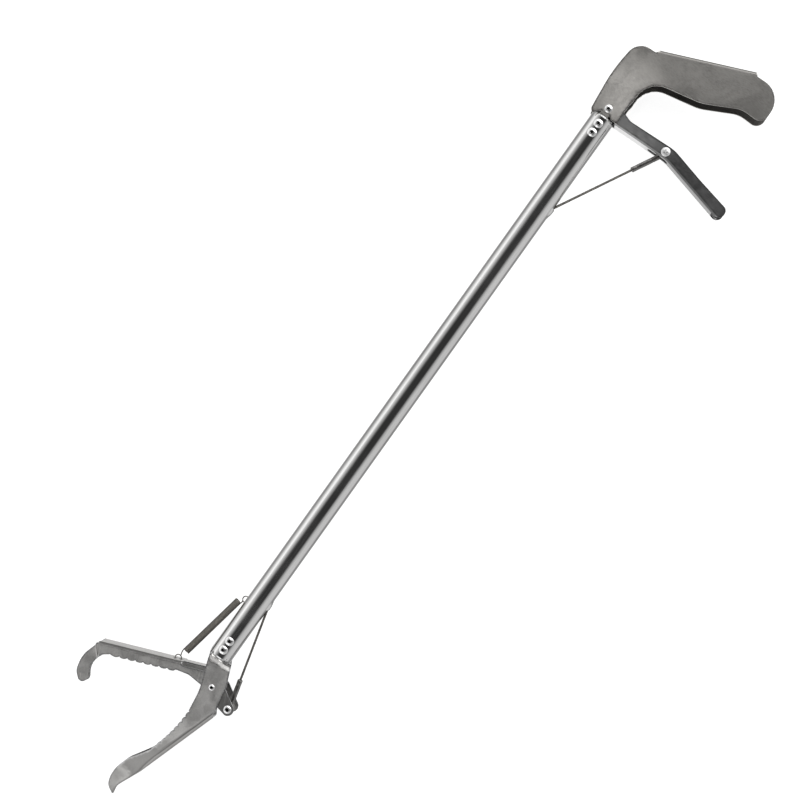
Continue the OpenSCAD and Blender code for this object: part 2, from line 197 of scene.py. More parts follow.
def smooth(low, high, x):
    """0 below low, 1 above high, and smooth between them."""
    t = np.clip((np.asarray(x, float) - low) / (high - low), 0, 1)
    return t * t * (3 - 2 * t)


# ---- Mesh makers ----

def add_object(name, data):
    made = bpy.data.objects.new(name, data)
    bpy.context.scene.collection.objects.link(made)
    return made


def make_mesh(name, verts, faces, normals, material, marks=None):
    """A mesh object from points in tool millimetres, with a given normal at each point. marks are named
    values at the points that the material reads."""
    mesh = bpy.data.meshes.new(name)
    mesh.from_pydata([tuple(in_frame(v)) for v in verts], [],
                     [tuple(int(i) for i in f) for f in faces])
    mesh.polygons.foreach_set("use_smooth", [True] * len(mesh.polygons))
    mesh.update()
    mesh.normals_split_custom_set_from_vertices([tuple(n) for n in normals])
    for mark, values in (marks or {}).items():
        mesh.attributes.new(mark, "FLOAT", "POINT").data.foreach_set("value", np.asarray(values, np.float32))
    piece = add_object(name, mesh)
    piece.data.materials.append(material)
    return piece


def inset(loop, edge, seam):
    """An outline moved inwards by edge, but only along the sheet at a closed seam."""
    ahead, behind = unit_rows(np.roll(loop, -1, 0) - loop), unit_rows(loop - np.roll(loop, 1, 0))
    out = np.stack([ahead[:, 1] + behind[:, 1], -ahead[:, 0] - behind[:, 0]], 1)
    length = np.linalg.norm(out, axis=1)[:, None]
    out = out / length * np.minimum(2 / length, 1.4)
    out[seam(loop)] *= (1, 0)
    return loop - edge * out


def in_sheet(points, loops):
    """Which of the points lie inside the first outline and outside the others, its holes."""
    keep = inside(points, loops[0])
    for hole in loops[1:]:
        keep &= ~inside(points, hole)
    return keep


def grid_points(loops, step, rows, columns):
    """Staggered points inside the outlines and clear of them."""
    gx, gy = np.meshgrid(columns, rows)
    gx[1::2] += 0.5 * np.gradient(columns)
    grid = np.stack([gx.ravel(), gy.ravel()], 1)
    grid = grid[in_sheet(grid, loops)]
    for loop in loops:
        grid = grid[distance_to(grid, loop) > step * 0.45]
    return grid


def triangulate(loops, grid):
    """The flat's points and triangles, and where each given point is among those points."""
    points = np.vstack(loops + [grid])
    edges, at = [], 0
    for loop in loops:
        edges += [(at + i, at + (i + 1) % len(loop)) for i in range(len(loop))]
        at += len(loop)
    cdt = geometry.delaunay_2d_cdt([Vector(p) for p in points], edges, [], 0, 1e-7)
    flat = np.array([tuple(v) for v in cdt[0]])
    tri = np.array([f for f in cdt[2] if len(f) == 3])
    tri = tri[in_sheet(flat[tri].mean(1), loops)]
    spin = np.cross(flat[tri[:, 1]] - flat[tri[:, 0]], flat[tri[:, 2]] - flat[tri[:, 0]])
    tri[spin < 0] = tri[spin < 0][:, ::-1]
    return flat, tri, {given: i for i, same in enumerate(cdt[3]) for given in same}


def surface(place, u):
    """The middle surface's points and normals at points of the flat."""
    h = 0.01
    du = place(u + (h, 0)) - place(u - (h, 0))
    dv = place(u + (0, h)) - place(u - (0, h))
    return place(u), unit_rows(np.cross(du, dv))


def rim_faces(closed, top, at, count):
    """The rounded edge along one outline. top is where its points are on the upper side, whose points
    number count, and its own two rows of points start at at. A closed seam gets none."""
    faces, m = [], len(top)
    for i in range(m):
        j = (i + 1) % m
        if not (closed[i] and closed[j]):
            faces += [(top[j], top[i], at + i, at + j), (at + j, at + i, at + m + i, at + m + j),
                      (at + m + j, at + m + i, top[i] + count, top[j] + count)]
    return faces


def weld(values, faces):
    """Joins points that lie on each other, as along a closed seam. values starts with the points."""
    _, first, back = np.unique(np.round(values[0], 4), axis=0, return_index=True, return_inverse=True)
    back = back.ravel()
    faces = [tuple(back[list(f)]) for f in faces]
    return [v[first] for v in values], [f for f in faces if len(set(f)) == len(f)]


def sheet_piece(name, loops, place, thick, material, rows, columns=None, step=1.6, edge=0.22,
                seam=lambda loop: np.zeros(len(loop), bool)):
    """Pressed sheet metal. loops are its outline and holes in the flat, and place() carries flat points
    to the sheet's middle surface. Its edges are rounded; seam says which flat points are a closed seam.
    rows and columns place the mesh's inner points, where a bend needs them close. The points are marked
    with wear, 1 where an edge is rubbed bright, and within, 1 on the inside of a channel, where the
    material paints shade."""
    loops = [np.array(loop if (area(loop) > 0) == (i == 0) else loop[::-1]) for i, loop in enumerate(loops)]
    inner = [inset(loop, edge, seam) for loop in loops]
    if columns is None:
        columns = np.arange(inner[0][:, 0].min(), inner[0][:, 0].max(), step)
    flat, tri, index_of = triangulate(inner, grid_points(inner, step, rows, columns))
    p, n = surface(place, flat)
    count, half = len(p), thick / 2
    rubbed = np.clip(1 - (np.min([distance_to(flat, loop) for loop in loops], axis=0) - edge) / 0.7, 0, 1)
    parts = [(p + n * half, n, rubbed, np.zeros(count)), (p - n * half, -n, rubbed, np.ones(count))]
    faces = [tuple(t) for t in tri] + [tuple(t[::-1] + count) for t in tri]
    at, start = 2 * count, 0
    for loop, rim in zip(loops, inner):
        m = len(loop)
        rim_p, rim_n = surface(place, loop)
        out = rim_p - place(rim)
        out -= (out * rim_n).sum(1)[:, None] * rim_n
        out /= np.maximum(np.linalg.norm(out, axis=1), 1e-9)[:, None]
        parts += [(rim_p + side * rim_n * (half - edge), out, np.ones(m), np.zeros(m)) for side in (1, -1)]
        faces += rim_faces(seam(loop), [index_of[start + i] for i in range(m)], at, count)
        at += 2 * m
        start += m
    values = [np.concatenate(v) for v in zip(*parts)]
    if any(seam(loop).any() for loop in loops):
        values, faces = weld(values, faces)
    used = np.unique(np.concatenate([np.array(f) for f in faces]))
    renumber = np.full(len(values[0]), -1)
    renumber[used] = np.arange(len(used))
    verts, normals, wear, within = (v[used] for v in values)
    return make_mesh(name, verts, [tuple(renumber[list(f)]) for f in faces], normals, material,
                     {"wear": wear, "within": within})


def lathe(name, profile, at, low, material, side=1, punches=(), six_sided=0.0, segments=48):
    """A turned piece about a line along Z through at. profile is (radius, height above low). punches are
    small pits (x, y, radius) from the middle, and what is nearer than six_sided is a hexagon."""
    profile = np.array(profile, float)
    ahead = np.gradient(profile, axis=0)
    slope = np.stack([ahead[:, 1], -ahead[:, 0]], 1)
    slope /= np.maximum(np.linalg.norm(slope, axis=1), 1e-9)[:, None]
    verts, normals, faces = [], [], []
    for k in range(segments):
        a = 2 * math.pi * k / segments
        c, s = math.cos(a), math.sin(a)
        hexagon = 1.05 * math.cos(math.pi / 6) / math.cos(a % (math.pi / 3) - math.pi / 6)
        for (r, h), (nr, nh) in zip(profile, slope):
            if r <= six_sided:
                r *= hexagon
            nx, ny = nr * c, nr * s
            for x, y, reach in punches:
                away = np.array([r * c - x, r * s - y])
                far = max(np.linalg.norm(away), 1e-6)
                h -= PUNCH_DEPTH * (1 - smooth(0.4 * reach, reach, far))
                steep = 1.5 * PUNCH_DEPTH / (0.6 * reach) if 0.4 * reach < far < reach else 0.0
                nx, ny = nx - nh * steep * away[0] / far, ny - nh * steep * away[1] / far
            verts.append((at[0] + r * c, at[1] + r * s, side * (low + h)))
            normals.append(unit((nx, ny, side * nh)))
    m = len(profile)
    for k in range(segments):
        a, b = k * m, (k + 1) % segments * m
        for i in range(m - 1):
            quad = (a + i, b + i, b + i + 1, a + i + 1)
            faces.append(quad if side > 0 else quad[::-1])
    return make_mesh(name, verts, faces, normals, material)


def frames_along(path):
    """Directions across a path, carried along it without twist."""
    tangents = unit_rows(np.gradient(path, axis=0))
    across = np.cross(tangents[0], (0, 0, 1) if abs(tangents[0][2]) < 0.9 else (1, 0, 0))
    rows = []
    for t in tangents:
        across = across - (across @ t) * t
        across /= np.linalg.norm(across)
        rows.append((across, np.cross(t, across)))
    return np.array(rows)


def ring_faces(at, rings, sides):
    """Faces between rings of points that follow each other from the number at on."""
    return [(low + k, low + (k + 1) % sides, low + sides + (k + 1) % sides, low + sides + k)
            for low in range(at, at + (rings - 1) * sides, sides) for k in range(sides)]


# A wire's rounded end: how far each ring lies beyond it and how wide the ring is, in the wire's radii.
ROUND_END = ((0.45, 0.85), (0.8, 0.45))


def wires(name, paths, radius, material, sides=10):
    """Round wires along paths, with rounded ends."""
    verts, faces, normals, at = [], [], [], 0
    for path in paths:
        path = np.asarray(path, float)
        frames = frames_along(path)
        tangent0, tangent1 = unit(path[1] - path[0]), unit(path[-1] - path[-2])
        rings = [(path[0] - tangent0 * k * radius, frames[0], r) for k, r in ROUND_END[::-1]]
        rings += [(p, f, 1.0) for p, f in zip(path, frames)]
        rings += [(path[-1] + tangent1 * k * radius, frames[-1], r) for k, r in ROUND_END]
        for index, (p, (u, v), r) in enumerate(rings):
            for k in range(sides):
                a = 2 * math.pi * k / sides
                n = u * math.cos(a) + v * math.sin(a)
                verts.append(p + n * radius * r)
                if index < 2:
                    n = unit(n - tangent0 * (1.6 - 0.8 * index))
                elif index >= len(rings) - 2:
                    n = unit(n + tangent1 * (0.8 + 0.8 * (index - len(rings) + 2)))
                normals.append(n)
        m = len(rings)
        faces += ring_faces(at, m, sides)
        faces.append(tuple(at + k for k in range(sides))[::-1])
        faces.append(tuple(at + (m - 1) * sides + k for k in range(sides)))
        at += m * sides
    return make_mesh(name, verts, faces, normals, material)


def smooth_path(points, step):
    """A Catmull-Rom curve through the points, with a point about every step."""
    p = [np.array(q, float) for q in points]
    p = [2 * p[0] - p[1]] + p + [2 * p[-1] - p[-2]]
    out = []
    for i in range(1, len(p) - 2):
        a, b, c, d = p[i - 1:i + 3]
        n = max(2, math.ceil(np.linalg.norm(c - b) / step))
        for k in range(n):
            t = k / n
            out.append(0.5 * (2 * b + (c - a) * t + (2 * a - 5 * b + 4 * c - d) * t * t
                              + (3 * b - a - 3 * c + d) * t ** 3))
    return np.array(out + [p[-2]])


class Fold:
    """A channel folded along a line or a gentle curve in the mid-plane. The cheeks lie to the left of the
    line. In the flat, t runs along the line and v across it: the back is |v| < flat, then comes the bend,
    then the cheek. half(depth, spot) is the half width of the sheet's middle surface, at a depth from the
    back and a point of the side view."""

    def __init__(self, line, half, bend, width):
        line = [np.array(p, float) for p in line]
        start, end = unit(line[1] - line[0]), unit(line[-1] - line[-2])
        line = np.array([line[0] - 60 * start] + line + [line[-1] + 60 * end])
        line = np.array([a + (b - a) * k for a, b in zip(line, line[1:])
                         for k in np.arange(0, 1, 0.4 / np.linalg.norm(b - a))] + [line[-1]])
        gaps = np.linalg.norm(np.diff(line, axis=0), axis=1)
        self.line, self.t = line, np.concatenate([[0], np.cumsum(gaps)]) - 60
        self.ahead = np.diff(line, axis=0) / gaps[:, None]
        self.knots = unit_rows(np.gradient(line, self.t, axis=0))
        self.half, self.bend = half, bend
        self.flat, self.arc = width - bend, bend * math.pi / 2

    def across(self, t):
        ahead = unit_rows(np.column_stack([np.interp(t, self.t, self.knots[:, k]) for k in (0, 1)]))
        return np.column_stack([-ahead[:, 1], ahead[:, 0]])

    def place(self, u):
        """Carries points of the flat to the sheet's middle surface."""
        t, v = u[:, 0], u[:, 1]
        side, size = np.sign(v), np.abs(v)
        beyond = np.maximum(size - self.flat - self.arc, 0)
        turn = np.clip((size - self.flat) / self.arc, 0, 1) * math.pi / 2
        depth = self.bend * (1 - np.cos(turn)) + beyond
        spot = np.column_stack([np.interp(t, self.t, self.line[:, k]) for k in (0, 1)])
        spot += depth[:, None] * self.across(t)
        w = self.half(depth, spot)
        r = np.minimum(self.bend, 0.8 * w)
        z = np.where(size <= self.flat, size / self.flat * (w - r), (w - r) + r * np.sin(turn))
        return np.column_stack([spot, side * z])

    def develop(self, points):
        """Points of a cheek's side view, as points of the flat on the +Z side."""
        points = np.array([p[:2] for p in points], float)
        best = np.full(len(points), 1e9)
        t, depth = np.zeros((2, len(points)))
        for i, ahead in enumerate(self.ahead):
            rel = points - self.line[i]
            along = np.clip(rel @ ahead, 0, self.t[i + 1] - self.t[i])
            gap = rel - along[:, None] * ahead
            far = np.linalg.norm(gap, axis=1)
            signed = rel @ np.array([-ahead[1], ahead[0]])
            take = far < best
            best[take], t[take] = far[take], self.t[i] + along[take]
            depth[take] = np.sign(signed[take]) * far[take]
        bent = self.bend * np.arccos(np.clip(1 - depth / self.bend, 0, 1))
        v = np.where(depth < self.bend, self.flat + bent, self.flat + self.arc + depth - self.bend)
        return [np.array(p) for p in np.column_stack([t, v])]

    def rows(self, low, high, step=1.4):
        """Heights of the rows of points across the flat: close together in the two bends."""
        bend = np.linspace(self.flat, self.flat + self.arc, 8)
        beyond = np.arange(self.flat + self.arc + 0.7, max(abs(low), abs(high)), step)
        half = np.concatenate([np.arange(0.001, self.flat - 0.4, step), bend, beyond])
        rows = np.sort(np.concatenate([-half, half]))
        return rows[(rows > low) & (rows < high)]


def both_cheeks(cheek):
    """The outline of a channel in the flat: one cheek, then the other one backwards."""
    return cheek + [p * (1, -1) for p in cheek[::-1]]


# ---- Materials ----

RUBBED_ROUGH = 0.22


class Nodes:
    """Short ways to add and join the nodes of a material."""

    def __init__(self, name):
        self.material = bpy.data.materials.new(name)
        self.material.use_nodes = True
        self.tree = self.material.node_tree
        self.shader = self.tree.nodes["Principled BSDF"]

    def add(self, kind, settings=None, **inputs):
        node = self.tree.nodes.new(kind)
        for key, value in (settings or {}).items():
            setattr(node, key, value)
        for key, value in inputs.items():
            socket = node.inputs[int(key[1:])] if key[0] == "i" and key[1:].isdigit() else node.inputs[key]
            self.put(value, socket)
        return node

    def put(self, value, socket):
        if isinstance(value, bpy.types.NodeSocket):
            self.tree.links.new(value, socket)
        else:
            socket.default_value = value

    def noise(self, place, scale, detail, rough=0.6, distortion=0.0):
        return self.add("ShaderNodeTexNoise", Vector=place, Scale=scale, Detail=detail, Roughness=rough,
                        Distortion=distortion).outputs["Fac"]

    def ramp(self, value, low, high, out_low, out_high):
        return self.add("ShaderNodeMapRange", {"interpolation_type": "SMOOTHSTEP"},
                        i0=value, i1=low, i2=high, i3=out_low, i4=out_high).outputs[0]

    def math(self, how, a, b):
        return self.add("ShaderNodeMath", {"operation": how}, i0=a, i1=b).outputs[0]

    def mix(self, factor, a, b):
        node = self.add("ShaderNodeMix", {"data_type": "RGBA"})
        for value, index in ((factor, 0), (a, 6), (b, 7)):
            self.put(value, node.inputs[index])
        return node.outputs[2]


def painted_fold_shading(n, back, bend, joggle, taper):
    """Painted light and shade on each part of a channel beside its cheeks, told from its normal."""
    normal = n.add("ShaderNodeTexCoord").outputs["Normal"]
    parts = n.add("ShaderNodeSeparateXYZ", Vector=normal).outputs
    facing = n.math("ABSOLUTE", parts["Z"], 0.0)
    gain = n.ramp(facing, 0.25, 0.5, back, bend)
    gain = n.math("ADD", gain, n.ramp(facing, 0.86, 0.985, 0.0, 1.0 - bend))
    lean = n.math("ADD", n.ramp(parts["X"], 0.10, 0.20, 0.0, joggle - 1.0),
                  n.ramp(parts["X"], -0.15, -0.03, taper - 1.0, 0.0))
    return n.math("ADD", gain, n.math("MULTIPLY", lean, n.ramp(facing, 0.8, 0.9, 0.0, 1.0)))


def metal(name, light, dark, rough, grain_scale, blotch, bump, grain=(1, 1, 1), scratch=0.35, edge=None,
          turn=0.0, painted_lighting=None, fold=None):
    """A worked metal: blotches of tone, fine grain drawn out along one direction, a few scratches, edges
    rubbed bright and painted shade on the inside of a channel. grain is how dense the grain is along each
    axis. patch is a painted pool of light, or of shade where its tone is darker, given as its centre, its
    reach and the tone. fold is the painted light and shade of a channel's back, its bends, its joggle and
    its taper beside its cheeks."""
    n = Nodes(name)
    place = n.add("ShaderNodeTexCoord").outputs["Object"]
    turned = n.add("ShaderNodeMapping", Vector=place, Rotation=(0, 0, turn)).outputs[0]
    stretched = n.add("ShaderNodeMapping", Vector=turned, Scale=grain).outputs[0]
    cloud = n.noise(place, blotch, 5, 0.62, 0.6)
    fine = n.noise(stretched, grain_scale, 3, 0.7)
    speck = n.noise(place, grain_scale * 2.3, 2, 0.6)
    slant = n.add("ShaderNodeMapping", Vector=turned, Scale=(1, 0.08, 1), Rotation=(0, 0, 0.5)).outputs[0]
    marks = n.noise(slant, grain_scale * 0.5, 2, 0.5)
    thin = n.ramp(marks, 0.68, 0.74, 0.0, 1.0)
    tone_noise = n.math("ADD", n.math("MULTIPLY", cloud, 0.55), n.math("MULTIPLY", fine, 0.45))
    colour = n.mix(n.ramp(tone_noise, 0.36, 0.64, 0.0, 1.0), (*dark, 1), (*light, 1))
    colour = n.mix(n.math("MULTIPLY", thin, scratch), colour, (*[min(1, c * 1.35) for c in light], 1))
    # Painted light and shade: a spot around centre whose colour goes to tone, lighter on the handle and trigger,
    # darker on the moving jaw by its ear.
    if painted_lighting:
        centre, reach, tone = painted_lighting
        far = n.add("ShaderNodeVectorMath", {"operation": "DISTANCE"},
                    i0=place, i1=in_frame((*centre, 0))).outputs[1]
        near = n.math("MULTIPLY", n.ramp(far, reach * MM * 0.05, reach * MM, 1.0, 0.0),
                      n.ramp(tone_noise, 0.3, 0.7, 0.86, 1.0))
        colour = n.mix(near, colour, (*[tone * c / light[0] for c in light], 1))
    # Painted light and shade, told from the normal: a channel's back, bends, joggle and taper are made lighter or
    # darker than its cheeks.
    if fold:
        colour = n.add("ShaderNodeVectorMath", {"operation": "SCALE"},
                       i0=colour, Scale=painted_fold_shading(n, *fold)).outputs[0]
    # Painted shade: the inside faces of a channel are darkened towards 0.7 of the dark tone.
    within = n.add("ShaderNodeAttribute", {"attribute_name": "within"}).outputs["Fac"]
    colour = n.mix(within, colour, (*[c * 0.7 for c in dark], 1))
    wear = n.add("ShaderNodeAttribute", {"attribute_name": "wear"}).outputs["Fac"]
    worn = n.math("MULTIPLY", wear, n.ramp(cloud, 0.3, 0.55, 0.55, 1.0))
    colour = n.mix(worn, colour, (*(edge or [min(1, c * 1.5) for c in light]), 1))
    roughness = n.math("ADD", n.ramp(fine, 0.3, 0.7, rough - 0.05, rough + 0.05),
                       n.ramp(cloud, 0.35, 0.65, -0.04, 0.05))
    roughness = n.add("ShaderNodeMix", {"data_type": "FLOAT"},
                      i0=worn, i2=roughness, i3=RUBBED_ROUGH).outputs[0]
    height = n.math("ADD", n.math("MULTIPLY", fine, 0.7), n.math("MULTIPLY", speck, 0.3))
    height = n.math("SUBTRACT", height, n.math("MULTIPLY", thin, 0.5))
    bumps = n.add("ShaderNodeBump", Strength=bump, Distance=0.0002, Height=height).outputs[0]
    n.put(colour, n.shader.inputs["Base Color"])
    n.put(roughness, n.shader.inputs["Roughness"])
    n.put(bumps, n.shader.inputs["Normal"])
    n.shader.inputs["Metallic"].default_value = 1.0
    return n.material


def greys(light, dark, warm=0.0):
    """Two greys, a little warm (positive) or cold (negative)."""
    return [tuple(v * (1 + warm * k) for k in (1, 0, -1.6)) for v in (light, dark)]


SPINE_TURN = -math.atan2(SPINE_TOP[1] - SPINE_LOW[1], SPINE_TOP[0] - SPINE_LOW[0])
tube_metal = metal("polished_tube", *greys(0.90, 0.80, 0.004), rough=0.10, edge=(0.3, 0.3, 0.3),
                   grain=(0.05, 1, 1), grain_scale=1100, blotch=14, bump=0.03, scratch=0.15)
# Painted light: the handle's and the trigger's spots brighten them near the tube. Painted shade: the moving jaw's
# spot darkens it by its ear, in the fixed jaw's shade.
handle_metal = metal("satin_handle", *greys(0.37, 0.28, 0.03), rough=0.46, painted_lighting=((290, -1), 44, 0.86),
                     fold=(0.5, 0.45, 1.0, 1.0), grain=(1, 0.25, 1), grain_scale=1300, blotch=35,
                     bump=0.16)
trigger_metal = metal("dark_trigger", *greys(0.19, 0.145, 0.0), rough=0.42, painted_lighting=((270, -20), 44, 0.44),
                      fold=(2.8, 1.0, 1.0, 1.0), grain=(1, 0.12, 1), grain_scale=1400, blotch=45,
                      bump=0.16)
fixed_metal = metal("fixed_jaw_steel", *greys(0.72, 0.58, 0.015), rough=0.38, edge=(0.5, 0.5, 0.5),
                    fold=(0.9, 0.88, 1.45, 0.42), grain_scale=1100, blotch=70, bump=0.14, scratch=0.5)
moving_metal = metal("moving_jaw_steel", *greys(0.64, 0.50, 0.015), rough=0.38, edge=(0.55, 0.55, 0.55),
                     painted_lighting=(LEVER_PIN, 24, 0.07), fold=(1.25, 0.22, 1.0, 1.0), grain=(1, 0.5, 1),
                     grain_scale=1100, blotch=80, bump=0.16, scratch=0.45, turn=SPINE_TURN)
rivet_metal = metal("bright_rivet", *greys(0.92, 0.78), rough=0.16, grain_scale=1500, blotch=200, bump=0.05)
dull_rivet_metal = metal("dull_rivet", *greys(0.97, 0.88), rough=0.5, grain_scale=1500, blotch=200,
                         bump=0.05)
rope_metal = metal("rope_wire", *greys(0.30, 0.14, 0.05), rough=0.38, grain_scale=2500, blotch=300, bump=0.2)
# The ferrules' own grey, also used as painted shade in the punch marks of the trigger's cable rivet.
ferrule_and_punch_shade_metal = metal("ferrule_grey_and_punch_shade", *greys(0.34, 0.20, 0.02), rough=0.33, grain_scale=1300,
                      blotch=150, bump=0.2)
spring_metal = metal("spring_wire", *greys(0.24, 0.18, 0.06), rough=0.34, grain_scale=1800, blotch=500,
                     bump=0.12)
# Painted shadow: near-black for the inside of a rivet's hole.
pit_shadow_metal = metal("rivet_pit_painted_shadow", *greys(0.035, 0.015), rough=0.6, grain_scale=1500, blotch=300, bump=0.1)


# ---- Tube ----

TUBE_MID = TUBE_R - TUBE_WALL / 2
QUARTER = TUBE_MID * math.pi / 2
HOODS = ((FRONT_HOLE[0] + 1.5, 1), (REAR_HOLE[0] - 1.5, -1))


def tube_point(u):
    """Carries points of the unrolled tube, (x, distance around from the top), to its middle surface."""
    x, v = u[:, 0], u[:, 1]
    y, z = TUBE_MID * np.sin(v / TUBE_MID), TUBE_MID * np.cos(v / TUBE_MID)
    for mouth, side in HOODS:
        along = (x - mouth) * side
        lift = smooth(-0.6, 0.6, along) * (1 - smooth(3.0, 10.0, along))
        y = y - 1.1 * lift * (1 - smooth(0.8, 4.2, np.abs(v + QUARTER)))
    for end, inward in ((TUBE_X[0], 1), (TUBE_X[1], -1)):
        shrink = 1 - 0.35 / TUBE_MID * (1 - smooth(0, 1.6, (x - end) * inward))
        y, z = y * shrink, z * shrink
    return np.column_stack([x, y, z])


def round_slot(x0, x1, v, r):
    """A round-ended hole on the unrolled tube, from x0 to x1."""
    ends = [(x0, a) for a in np.linspace(math.pi / 2, 3 * math.pi / 2, 9)]
    ends += [(x1, a) for a in np.linspace(-math.pi / 2, math.pi / 2, 9)]
    return [np.array([x, v]) + r * polar(a) for x, a in ends]


def build_tube():
    """The long tube, with a pressed hood over each cable slot and two small holes for the spring."""
    corners = [(TUBE_X[i], 2 * side * QUARTER) for i, side in ((0, -1), (1, -1), (1, 1), (0, 1))]
    wall = resample([np.array(p) for p in corners], 1.2)
    holes = [round_slot(FRONT_HOLE[0] - 6, FRONT_HOLE[0] + 1.2, -QUARTER, 1.5),
             round_slot(REAR_HOLE[0] - 1.2, REAR_HOLE[0] + 6, -QUARTER, 1.5)]
    holes += [circle((TUBE_LOOP[0] + k, QUARTER), 1.15, 16) for k in (-1.9, 1.9)]
    fine = [np.arange(mouth - 3, mouth + 14, 0.7) if side > 0 else np.arange(mouth - 14, mouth + 3, 0.7)
            for mouth, side in HOODS]
    ends = [TUBE_X[0] + np.array([0.7, 1.2, 1.7, 2.4]), TUBE_X[1] - np.array([2.4, 1.7, 1.2, 0.7])]
    near = np.concatenate(fine + ends)
    wide = np.arange(TUBE_X[0] + 4, TUBE_X[1] - 3, 5.0)
    wide = wide[np.abs(wide[:, None] - near).min(1) > 1.5]
    return sheet_piece("tube_wall", [wall] + holes, tube_point, TUBE_WALL, tube_metal,
                       rows=np.arange(-2 * QUARTER + 0.6, 2 * QUARTER - 0.5, 0.85),
                       columns=np.sort(np.concatenate([near, wide])), edge=0.25,
                       seam=lambda p: np.abs(np.abs(p[:, 1]) - 2 * QUARTER) < 1e-6)


# ---- Handle and trigger ----

def tab_height(spot, w, inner, start, end, reach, wide=5.1, joggle=5.1):
    """Half width w of a cheek, led down in a joggle to the strap that lies inside the tube. The strap
    lies within wide of the axis, and the joggle within joggle of it."""
    flat = TUBE_MID - 1.05
    x, y = spot[:, 0] * inner, np.abs(spot[:, 1])
    slope = np.clip((x - start) / (end - start), 0, 1)
    level = w + (flat - w) * (0.25 * smooth(0, 1, slope) + 0.75 * slope) * (y < joggle)
    curved = np.sqrt(flat ** 2 - np.minimum(y, 7.0) ** 2)
    return level + (curved - level) * smooth(end, reach, x) * (y < wide)


def build_handle():
    """The pistol-grip shell: two cheeks and the folded back that joins them."""
    outward = unit(np.array([BACK_TOP[1] - BACK_LOW[1], BACK_LOW[0] - BACK_TOP[0]]))
    w = (HANDLE_W - SHEET) / 2

    def half(depth, spot):
        return tab_height(spot, w, -1, -270.6, -267.7, -266.0)

    top = BACK_TOP + 0.6 * outward
    fold = Fold(run([BACK_LOW + 0.6 * outward, (*top, 40), top + (-4.6, 26)]), half, 1.7, w)
    cheek = run([BACK_TOP + 0.2 * outward, (328.6, -4.6, 1), (328.2, 11.7, 12), (300, 14.8, 130),
                 (267.3, 11.5, 2.5), (264.4, 9.0, 0.6), (268.2, 5.2, 1), (269.6, 4.3, 0.5), (269.6, 3.6, 0.2),
                 (262, 3.6, 0.5), (262, -3.6, 0.5), (269.6, -3.6, 0.2), (269.6, -4.3, 0.5), (267.6, -6.1, 1),
                 (267.4, -11.7, 0.5), (308.4, -12.1, 18), (315.8, -55, 35), (328.9, -82.5, 20),
                 (328, -101.5, 6.8), (355.5, -101.1, 17), (355.5, -77.6, 0.8), BACK_LOW + 0.2 * outward], 10)
    outline = resample(both_cheeks(fold.develop(cheek)), 1.1)
    return sheet_piece("handle_pressing", [outline], fold.place, SHEET, handle_metal,
                       rows=fold.rows(-70, 70))


def build_trigger():
    """The trigger: two long cheeks and the folded front that the cable comes out of."""
    w = (TRIGGER_W - SHEET) / 2
    front = run([(267.3, -8.4), (267.3, -58, 30), (259.3, -88.1, 60), (251.2, -118.5)], 12)
    fold = Fold(front, lambda depth, spot: np.full(len(depth), w), 1.5, w)
    boss = [np.array(TRIGGER_PIVOT) + 4.6 * polar(a) for a in np.linspace(0.1, 3.0, 14)]
    cheek = run([(253.6, -109.6), (251.0, -118.7, 4.4), (261.4, -117.4, 4.4), (268.3, -88.3, 60),
                 (276.3, -59.1, 30), (275.6, -18.9, 8), (279.2, -9.0, 4), (278.3, -0.4)], 10)
    cheek += boss + run([(269.0, -1.0), (269.0, -9.4, 0.5), (267.3, -10.4)], 4)
    outline = resample(both_cheeks(fold.develop(cheek)), 1.1)
    window = fold.develop([(267.3, -42), (267.3, -60)])
    t0, t1 = sorted((window[0][0], window[1][0]))
    slot = run([((t0 + t1) / 2, 3.2), (t0, 3.2, 2.5), (t0, -3.2, 2.5), (t1, -3.2, 2.5), (t1, 3.2, 2.5),
                ((t0 + t1) / 2, 3.2)], 6)[:-1]
    return sheet_piece("trigger_pressing", [outline, resample(slot, 1.0)], fold.place, SHEET, trigger_metal,
                       rows=fold.rows(-26, 26, 1.2), step=1.4)


# ---- Jaws ----

